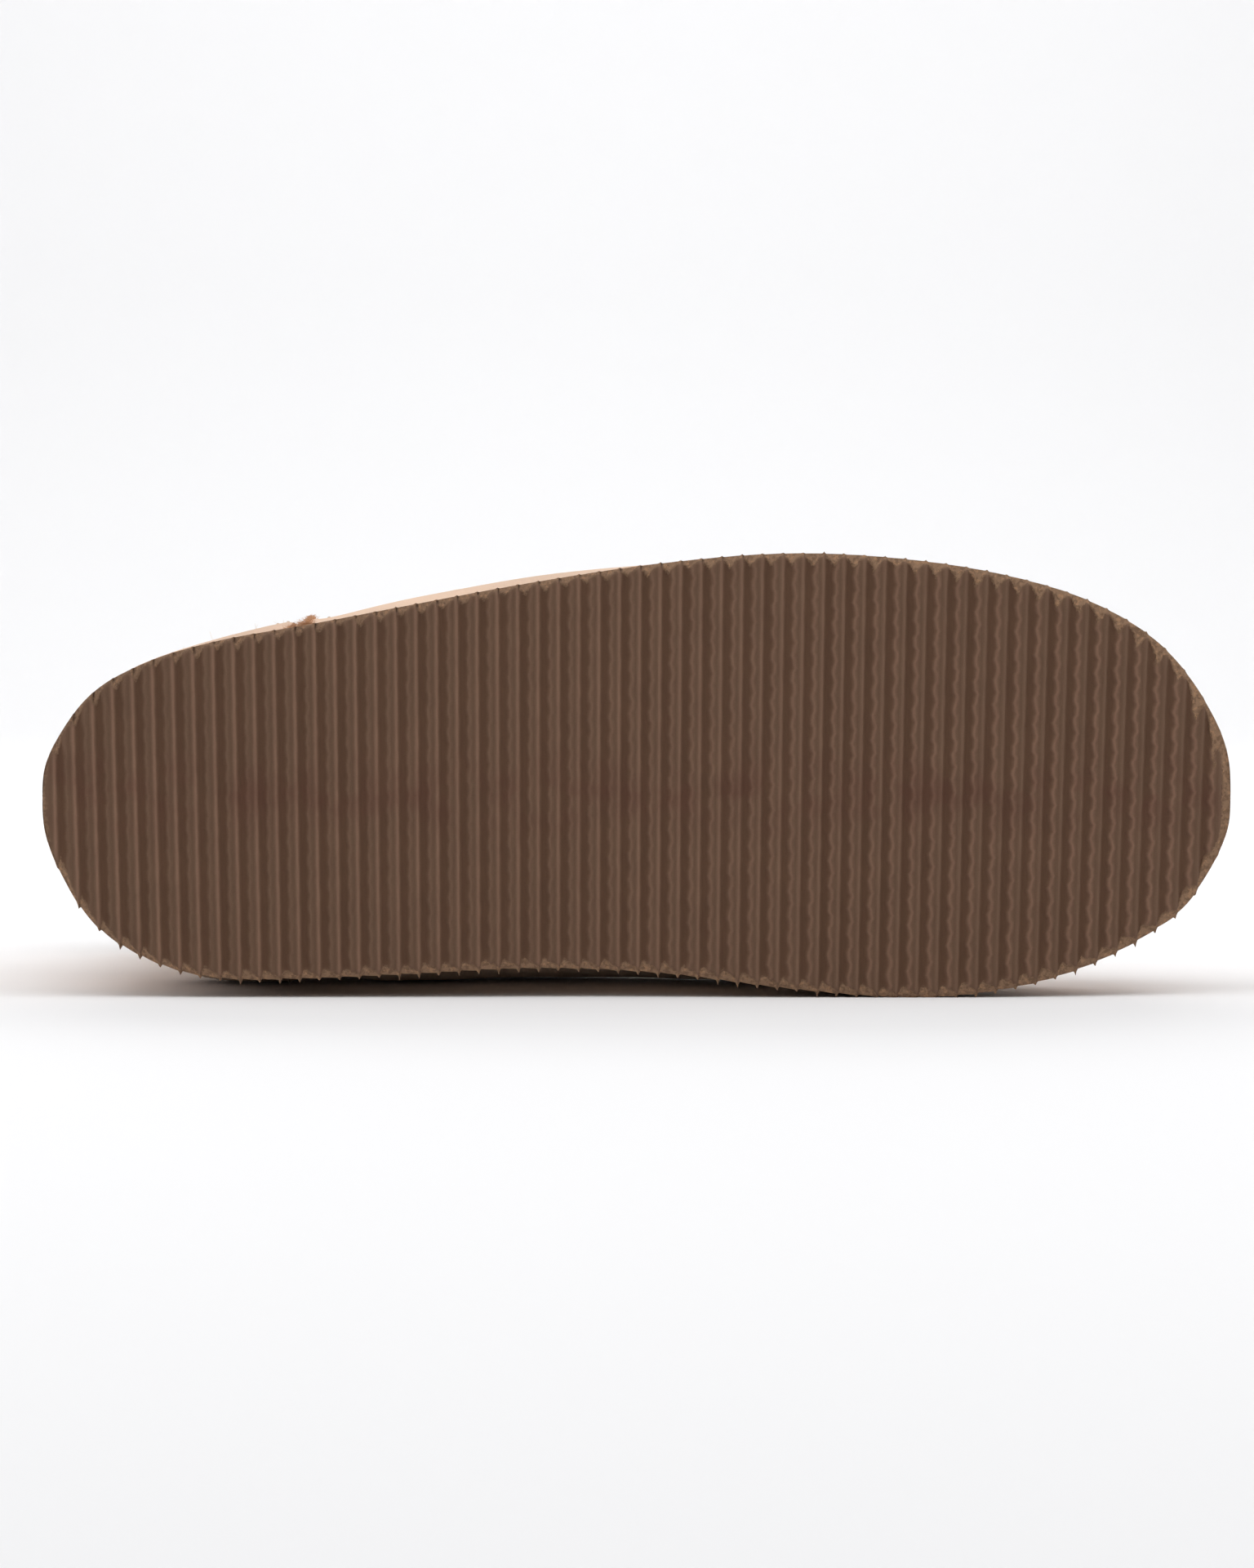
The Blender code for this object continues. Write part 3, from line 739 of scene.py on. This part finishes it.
def ontoHide(tree, spots):
    # a crease's spots, each moved to the hide's outside along the way out from the foot
    along, across, height = np.array(spots).T
    middle, shaft = footLine(along, height)
    middle = toWorld(middle, along * 0, foot["height"] + (height - foot["height"]) * shaft)
    out = toWorld(along, across, height) - middle
    out /= np.linalg.norm(out, axis=1)[:, None]
    hits = [onSurface(tree, m + 0.15 * o, m) for m, o in zip(middle, out)]
    return np.array([list(hit[0]) for hit in hits if hit])


def crease(points, normals, lines):
    out, _ = outwardOf(points, normals)
    moved = points.copy()
    for spots, radius, depth in lines:
        route = ontoHide(hideTree, spots)
        legs = [np.linspace(a, b, 9)[:-1] for a, b in zip(route[:-1], route[1:])]
        legs = np.concatenate(legs + [route[-1:]])
        fade = np.sin(np.linspace(0.12, math.pi - 0.12, len(legs))) ** 0.8
        gaps = np.linalg.norm(points[:, None, :] - legs[None], axis=2)
        nearest = gaps.argmin(1)
        gap = gaps.min(1) / radius
        ridge = 0.42 * np.exp(-((gap - 1.7) / 0.7) ** 2)
        trough = np.exp(-gap ** 2) - ridge
        moved -= out * (depth * fade[nearest] * trough)[:, None]
    return moved


settling = {
    "from": 0.070,
    "to": 0.240,
    "most": 0.0034,
    "clearance": 0.0002,
    "fullBelow": 0.0025,
    "fade": 0.014,
}


def floorGaps():
    # how far the hide lies above the floor, along the shoe
    points = readPoints(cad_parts["upper"])
    spots = np.linspace(settling["from"], settling["to"], 18)
    lowest = [points[np.abs(toShoe(points)[0] - spot) < 0.008, 2].min() for spot in spots]
    return spots, np.minimum(np.array(lowest) - settling["clearance"], settling["most"])


def settle(points):
    # ahead of the heel the soft hide sinks the last millimetres on to the floor
    along, _, height = toShoe(points)
    low = points[:, 2]
    drop = np.interp(along, *hideGaps)
    drop *= ease((along - 0.068) / 0.016) * ease((0.245 - along) / 0.02)
    drop *= ease((height - 0.019) / 0.012) * ease((0.112 - height) / 0.02)
    settled = points.copy()
    settled[:, 2] -= drop * (1 - ease((low - settling["fullBelow"]) / settling["fade"]))
    return settled


def waver(points, size, scale, seed):
    return np.array([noise.noise(Vector(p) * scale + Vector((seed, 0, 0))) for p in points]) * size


hideGaps = floorGaps()
hideTree = treeOf(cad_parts["upper"])


def buildUpper():
    upper = copyNode("upper", "upper_suede", 2)
    points, normals = readPoints(upper), readNormals(upper)
    moved = crease(points, normals, creases)
    out, _ = outwardOf(points, normals)
    soft = waver(points, 0.0009, 28.0, 3.0) * ease((toShoe(points)[2] - 0.022) / 0.03)
    flat = ease((points[:, 2] - 0.004) / 0.012)  # the side that it lies on stays flat
    change = (moved - points) + out * soft[:, None]
    writePoints(upper, settle(points + change * flat[:, None]))
    return finishMesh(upper, angle=math.radians(60))


upper = buildUpper()
place(upper, "suede", suedeMaterial("pale suede", suedeLook["upper"]), "upper")
print("upper", len(upper.data.polygons))

counter = copyNode("heel_counter", "heel_counter_suede", 1)
finishMesh(counter, angle=math.radians(60))
place(counter, "counter_suede", suedeMaterial("pale suede patch", suedeLook["counter"]), "heel_counter")
print("heel counter", len(counter.data.polygons))

# Wool

woolLook = {
    "collar": (0.80, 0.64, 0.47),
    "tips": (0.93, 0.83, 0.70),
    "tuft": (0.58, 0.29, 0.14),
    "tuftTips": (0.72, 0.42, 0.23),
    "lining": (0.78, 0.62, 0.46),
}


def woolMaterial(name, colour, tips):
    material, tree, shader = newMaterial(name, 0.95, 0.5, (1.0, 0.93, 0.84))
    where = addNode(tree, "ShaderNodeTexCoord").outputs["Object"]
    locks = noiseAt(tree, where, 260.0, 3.0, 0.6)
    blended = mixColour(tree, spread(tree, locks, 0.38, 0.66), colour, tips)
    mottled = useMottle(tree, blended, 70.0, 0.22, 2200.0, 0.25)
    tree.links.new(mottled.outputs["Colour"], shader.inputs["Base Color"])
    addBump(tree, shader, maths(tree, "ADD", mottled.outputs["Height"], locks), 0.6, 0.0008)
    return material


wool = {
    "strands": 5200,
    "length": 0.0062,
    "radius": 0.00016,
    "rings": 5,
    "curl": 0.0011,
    "rooted": 0.0006,  # below the fleece's surface
    "floorGap": 0.0003,
    "pile": 0.0016,  # of the lining, off the hide
}


def tubes(name, paths, thick, sides):
    # many short tubes in one mesh, a path of points and a thickness at each point
    count, rings = paths.shape[:2]
    along = np.gradient(paths, axis=1)
    along /= np.linalg.norm(along, axis=2)[..., None] + 1e-12
    start = along.mean(1)
    guide = np.where(np.abs(start[:, :1]) < 0.8, [[1.0, 0, 0]], [[0, 1.0, 0]])
    side = np.cross(along, guide[:, None])
    side /= np.linalg.norm(side, axis=2)[..., None] + 1e-12
    other = np.cross(along, side)
    about = 2 * math.pi * np.arange(sides) / sides
    outward = side[:, :, None] * np.cos(about)[:, None] + other[:, :, None] * np.sin(about)[:, None]
    points = paths[:, :, None] + np.broadcast_to(thick, (count, rings))[:, :, None, None] * outward
    one = []
    for k in range(rings - 1):
        low, high = k * sides, (k + 1) * sides
        for c in range(sides):
            d = (c + 1) % sides
            one.append((low + c, low + d, high + d, high + c))
    first = (np.arange(count) * rings * sides)[:, None]
    quads = (np.array(one)[None] + first[:, None]).reshape(-1, 4).tolist()
    foot = (first + np.arange(sides)[::-1][None]).tolist()
    tip = (first + (rings - 1) * sides + np.arange(sides)[None]).tolist()
    mesh = bpy.data.meshes.new(name)
    mesh.from_pydata(points.reshape(-1, 3).tolist(), [], quads + foot + tip)
    obj = bpy.data.objects.new(name, mesh)
    bpy.context.scene.collection.objects.link(obj)
    return finishMesh(obj, angle=math.radians(75))


def growWool(name, roots, normals, length, radius, curl, seed):
    # short curled strands that narrow to their tips
    rng = np.random.default_rng(seed)
    count, rings = len(roots), wool["rings"]
    side = np.cross(normals, rng.normal(0, 1, (count, 3)))
    side /= np.linalg.norm(side, axis=1)[:, None]
    other = np.cross(normals, side)
    lean = side * rng.normal(0, 0.45, (count, 1)) + other * rng.normal(0, 0.45, (count, 1))
    tall = length * rng.uniform(0.65, 1.15, count)
    turn, start = rng.uniform(2.5, 5.5, count), rng.uniform(0, 2 * math.pi, count)
    t = np.linspace(0, 1, rings)
    angle = start[:, None] + 2 * turn[:, None] * t
    grown = normals[:, None] * t[:, None] + lean[:, None] * (t * t)[:, None]
    paths = roots[:, None] + grown * tall[:, None, None]
    paths += side[:, None] * (np.cos(angle) * curl * t)[..., None]
    paths += other[:, None] * (np.sin(angle) * curl * t)[..., None]
    return tubes(name, paths, radius * (1 - 0.8 * t), 3)


def keepOffFloor(obj):
    points = readPoints(obj)
    points[:, 2] = np.maximum(points[:, 2], wool["floorGap"])
    writePoints(obj, points)


def scatterOn(obj, count, seed, keep):
    # spots spread evenly over the part of a mesh to keep, with its normal at each
    mesh = obj.data
    mesh.calc_loop_triangles()
    corners = np.array([t.vertices[:] for t in mesh.loop_triangles])
    points, normals = readPoints(obj), readNormals(obj)
    a, b, c = (points[corners[:, k]] for k in range(3))
    area = np.linalg.norm(np.cross(b - a, c - a), axis=1) * keep((a + b + c) / 3)
    rng = np.random.default_rng(seed)
    picked = rng.choice(len(corners), count, p=area / area.sum())
    u, v = rng.random(count), rng.random(count)
    u, v = np.where(u + v > 1, 1 - u, u), np.where(u + v > 1, 1 - v, v)
    w = 1 - u - v
    spots = a[picked] * w[:, None] + b[picked] * u[:, None] + c[picked] * v[:, None]
    out = sum(normals[corners[picked, k]] for k in range(3))
    return spots, out / np.linalg.norm(out, axis=1)[:, None]


def buildFurCollar():
    fur = copyNode("fur_collar", "fur_collar_fleece", 2)
    points, normals = readPoints(fur), readNormals(fur)
    lumps = waver(points, 0.0016, 210.0, 9.0) + waver(points, 0.0009, 480.0, 4.0)
    raised = ease((points[:, 2] - 0.0005) / 0.004)
    writePoints(fur, points + normals * (lumps * raised)[:, None])
    return finishMesh(fur, angle=math.radians(80))


fur = buildFurCollar()
woolCream = woolMaterial("cream fleece", woolLook["collar"], woolLook["tips"])
place(fur, "fleece", woolCream, "fur_collar")
furLow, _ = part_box("fur_collar")
spots, out = scatterOn(fur, wool["strands"], 5, lambda p: p[:, 1] > furLow.y + 0.004)
strands = growWool("fur_collar_strands", spots - out * wool["rooted"], out,
                   wool["length"], wool["radius"], wool["curl"], 6)
keepOffFloor(strands)
place(strands, "fleece", woolCream)
print("fur collar", len(fur.data.polygons), len(strands.data.polygons))


def buildLining():
    # the fleece on the inner face of the hide
    lining = copyNode("upper", "fleece_lining", 2)
    _, facing = outwardOf(readPoints(lining), readNormals(lining))
    selectOnly(lining)
    bpy.ops.object.mode_set(mode="EDIT")
    bpy.ops.mesh.select_mode(type="VERT")
    bpy.ops.mesh.select_all(action="DESELECT")
    bpy.ops.object.mode_set(mode="OBJECT")
    for vertex, side in zip(lining.data.vertices, facing):
        vertex.select = bool(side > 0)
    bpy.ops.object.mode_set(mode="EDIT")
    bpy.ops.mesh.delete(type="VERT")
    bpy.ops.object.mode_set(mode="OBJECT")
    points, normals = readPoints(lining), readNormals(lining)
    points = settle(crease(points, normals, creases))
    lumps = wool["pile"] + waver(points, 0.0012, 260.0, 2.0) + waver(points, 0.0006, 620.0, 7.0)
    writePoints(lining, points + normals * lumps[:, None])
    return finishMesh(lining, angle=math.radians(80))


lining = buildLining()
place(lining, "fleece", woolMaterial("fleece lining", woolLook["lining"], woolLook["collar"]))
print("lining", len(lining.data.polygons))


def buildFootbed():
    bed = copyNode("footbed", "footbed_fleece", 3)
    points, normals = readPoints(bed), readNormals(bed)
    lumps = waver(points, 0.0007, 320.0, 5.0) + 0.0002
    onTop = ease((normals[:, 1] - 0.2) / 0.4)
    writePoints(bed, points + normals * (lumps * onTop)[:, None])
    return finishMesh(bed, angle=math.radians(70))


footbed = buildFootbed()
bedWool = woolMaterial("footbed fleece", woolLook["lining"], woolLook["collar"])
place(footbed, "footbed_fleece", bedWool, "footbed")
print("footbed", len(footbed.data.polygons))

# Side seams and stitches

seams = {
    "length": 0.0031,
    "gap": 0.0010,
    "thread": 0.00031,
    "threadColour": (0.56, 0.42, 0.31),
    "dip": 0.0004,  # of a stitch's ends into the hide
    "crown": 0.0005,
    "sunkBelow": 0.034,  # near the sole the thread lies sunk in the hide
    "above": 0.002,  # lowest stitch over the sole's top
    "rowOff": 0.0046,  # from the middle of the raised seam
    "counterRows": (0.0024, 0.0050),  # in from the patch's edge
    "counterEdge": 0.0615,
    "fuzz": 520,
    "fuzzLength": 0.0012,
    "tuft": 460,
    "tuftFrom": (0.0604, 0.0193),
    "tuftTo": (0.0660, 0.0220),
    "tuftLength": 0.0023,
}


def sideLine(tree, along, heights, sign):
    hits = [onSurface(tree, toWorld(along, sign * 0.12, h), toWorld(along, 0.0, h)) for h in heights]
    return [hit for hit in hits if hit]


def stitchPaths(line):
    # stitches of equal length along a line of spots on a surface
    spots, normals = (np.array([list(hit[k]) for hit in line]) for k in (0, 1))
    run = np.concatenate(([0], np.cumsum(np.linalg.norm(np.diff(spots, axis=0), axis=1))))
    starts = np.arange(0.0006, run[-1] - seams["length"], seams["length"] + seams["gap"])
    t = np.linspace(0, 1, 6)
    places = starts[:, None] + t * seams["length"]
    spots, facing = (
        np.stack([np.interp(places, run, values[:, k]) for k in range(3)], -1) for values in (spots, normals))
    lift = -seams["dip"] + seams["crown"] * np.sin(math.pi * t) ** 0.6
    height = spots[..., 1] - shoe["groundY"]
    sunk = seams["dip"] * (1 - ease((height - seams["sunkBelow"]) / 0.008))
    return spots + facing * (lift - sunk)[..., None]


def threadMaterial():
    material, tree, shader = newMaterial("waxed thread", 0.6)
    mottled = useMottle(tree, seams["threadColour"], 300.0, 0.15, 3000.0, 0.3)
    tree.links.new(mottled.outputs["Colour"], shader.inputs["Base Color"])
    addBump(tree, shader, mottled.outputs["Height"], 0.4, 0.0002)
    return material


def seamStitchPaths(sign):
    low = seamFoot + seams["above"]
    heights = np.linspace(low, 0.142, 90)
    return stitchPaths(sideLine(upperTree, shoe["seam"] + seams["rowOff"], heights, sign))


def counterEdgePaths(sign, off):
    heights = np.linspace(seamFoot + seams["above"], 0.10, 120)
    edge = sideLine(counterTree, seams["counterEdge"] - off, heights, sign)
    return stitchPaths(edge[:-int(1 + off / 0.0007)])


def counterRimPaths(off):
    # stitches round the heel, under the patch's upper rim
    along, across, height = toShoe(readPoints(counter))
    turns = np.arctan2(across, shoe["seam"] - along)
    bins = np.linspace(-1.45, 1.45, 30)
    rim = np.array([height[np.abs(turns - turn) < 0.09].max() for turn in bins])
    line = []
    for turn in np.linspace(-1.38, 1.38, 160):
        level = np.interp(turn, bins, rim) - off - 0.0012
        start = toWorld(shoe["seam"] - 0.15 * math.cos(turn), 0.15 * math.sin(turn), level)
        line.append(onSurface(counterTree, start, toWorld(shoe["seam"], 0.0, level)))
    return stitchPaths([hit for hit in line if hit])


upperTree, counterTree = treeOf(upper), treeOf(counter)
seamFoot = float(soleTop(np.array(shoe["seam"])))
upperRows = [seamStitchPaths(sign) for sign in (1, -1)]
counterRows = [counterEdgePaths(sign, off) for sign in (1, -1) for off in seams["counterRows"]]
counterRows += [counterRimPaths(off) for off in seams["counterRows"]]
thread = threadMaterial()
seamStitches = tubes("seam_stitches", np.concatenate(upperRows), seams["thread"], 5)
place(seamStitches, "suede", thread)
counterStitches = tubes("heel_counter_stitches", np.concatenate(counterRows), seams["thread"], 5)
place(counterStitches, "counter_suede", thread)
print("stitches", sum(len(rows) for rows in upperRows + counterRows))


def buildSeamWool():
    # fleece that peeps out along the raised seams, and a tuft at the foot of one
    rng = np.random.default_rng(21)
    tan = woolMaterial("tan fleece", woolLook["tuft"], woolLook["tuftTips"])
    spots, out = [], []
    for sign in (1, -1):
        heights = rng.uniform(seamFoot + 0.0015, 0.140, seams["fuzz"])
        for height, off in zip(heights, rng.normal(0, 0.0005, seams["fuzz"])):
            for spot, normal in sideLine(upperTree, shoe["seam"] + off, [height], sign):
                spots.append(spot)
                out.append(normal)
    fuzz = growWool("seam_fleece", np.array(spots), np.array(out), seams["fuzzLength"], 0.00012, 0.0004, 22)
    keepOffFloor(fuzz)
    place(fuzz, "fleece", tan)
    spots, out = [], []
    (fromAlong, fromHeight), (toAlong, toHeight) = seams["tuftFrom"], seams["tuftTo"]
    for _ in range(seams["tuft"]):
        along, height = rng.uniform(fromAlong, toAlong), rng.uniform(fromHeight, toHeight)
        for spot, normal in sideLine(upperTree, along, [height], -1):
            spots.append(spot)
            out.append((normal + Vector((0, 0, 0.8))).normalized())
    tuft = growWool("seam_tuft", np.array(spots), np.array(out), seams["tuftLength"], 0.00013, 0.0007, 23)
    place(tuft, "fleece", tan)


buildSeamWool()
print("seam fleece")

# Floor, light and camera

studio = {
    "floor": (0.86, 0.86, 0.87),
    "roomLight": 0.14,
    "roomSeen": 0.97,
    "cameraGap": 1.30,  # from the tread
    "cameraHeight": 0.112,
    "lookX": -0.00095,
    "lookZ": 0.0535,
    "focal": 119.7,
}


def buildFloor():
    bend = np.linspace(0, math.pi / 2, 13)
    # flat under the boot, then curved up into the wall behind it
    deep = np.concatenate(([-1.7, -1.0, 0.0, 1.0], 1.6 + 0.6 * np.sin(bend), [2.2]))
    high = np.concatenate(([0.0, 0.0, 0.0, 0.0], 0.6 - 0.6 * np.cos(bend), [2.6]))
    wide = np.linspace(-1.2, 1.2, 7)
    points = np.stack(np.broadcast_arrays(wide[:, None], deep[None], high[None]), -1)
    floor = gridPiece("floor", points)
    finishMesh(floor, angle=math.radians(80))
    material, tree, shader = newMaterial("pale paper", 0.85)
    shader.inputs["Base Color"].default_value = (*studio["floor"], 1)
    floor.data.materials.append(material)


def addLight(name, spot, target, size, power):
    bpy.ops.object.light_add(type="AREA", location=spot)
    lamp = bpy.context.active_object
    lamp.name = name
    lamp.data.shape, lamp.data.size, lamp.data.size_y = "RECTANGLE", *size
    lamp.data.energy = power
    lamp.rotation_euler = (Vector(target) - Vector(spot)).to_track_quat("-Z", "Y").to_euler()


buildFloor()
world = bpy.data.worlds.new("studio")
bpy.context.scene.world = world
world.use_nodes = True
room = world.node_tree
roomShader = room.nodes["Background"]
roomShader.inputs["Color"].default_value = (1, 1, 1, 1)
# the room looks brighter than it lights the boot
seen = room.nodes.new("ShaderNodeLightPath").outputs["Is Camera Ray"]
extra = times(room, seen, studio["roomSeen"] - studio["roomLight"])
room.links.new(maths(room, "ADD", extra, studio["roomLight"]), roomShader.inputs["Strength"])
bpy.context.scene.view_settings.view_transform = "Standard"
addLight("top", (0, -0.50, 1.6), (0, 0.0, 0), (2.4, 1.3), 25.4)
addLight("behind", (0, 1.15, 1.2), (0, 0.0, 0), (1.8, 0.7), 7)
addLight("left", (-1.5, 0.1, 0.9), (0, 0, 0.05), (1.2, 1.2), 8)
addLight("right", (1.5, 0.1, 0.9), (0, 0, 0.05), (1.2, 1.2), 6)
addLight("backdrop", (0, 1.0, 1.4), (0, 2.2, 0.5), (2.4, 0.8), 16.5)
addLight("front", (0, -2.6, 1.7), (0, -0.9, 0.0), (2.4, 1.0), 5.4)

cameraY = shoe["groundY"] - studio["cameraGap"]
bpy.ops.object.camera_add(location=(studio["lookX"], cameraY, studio["cameraHeight"]))
camera = bpy.context.active_object
aim = Vector((studio["lookX"], shoe["groundY"], studio["lookZ"])) - camera.location
camera.rotation_euler = aim.to_track_quat("-Z", "Y").to_euler()
camera.data.lens = studio["focal"]
camera.data.sensor_width = 36.0
camera.data.clip_end = 20.0
bpy.context.scene.camera = camera
print("studio ready")
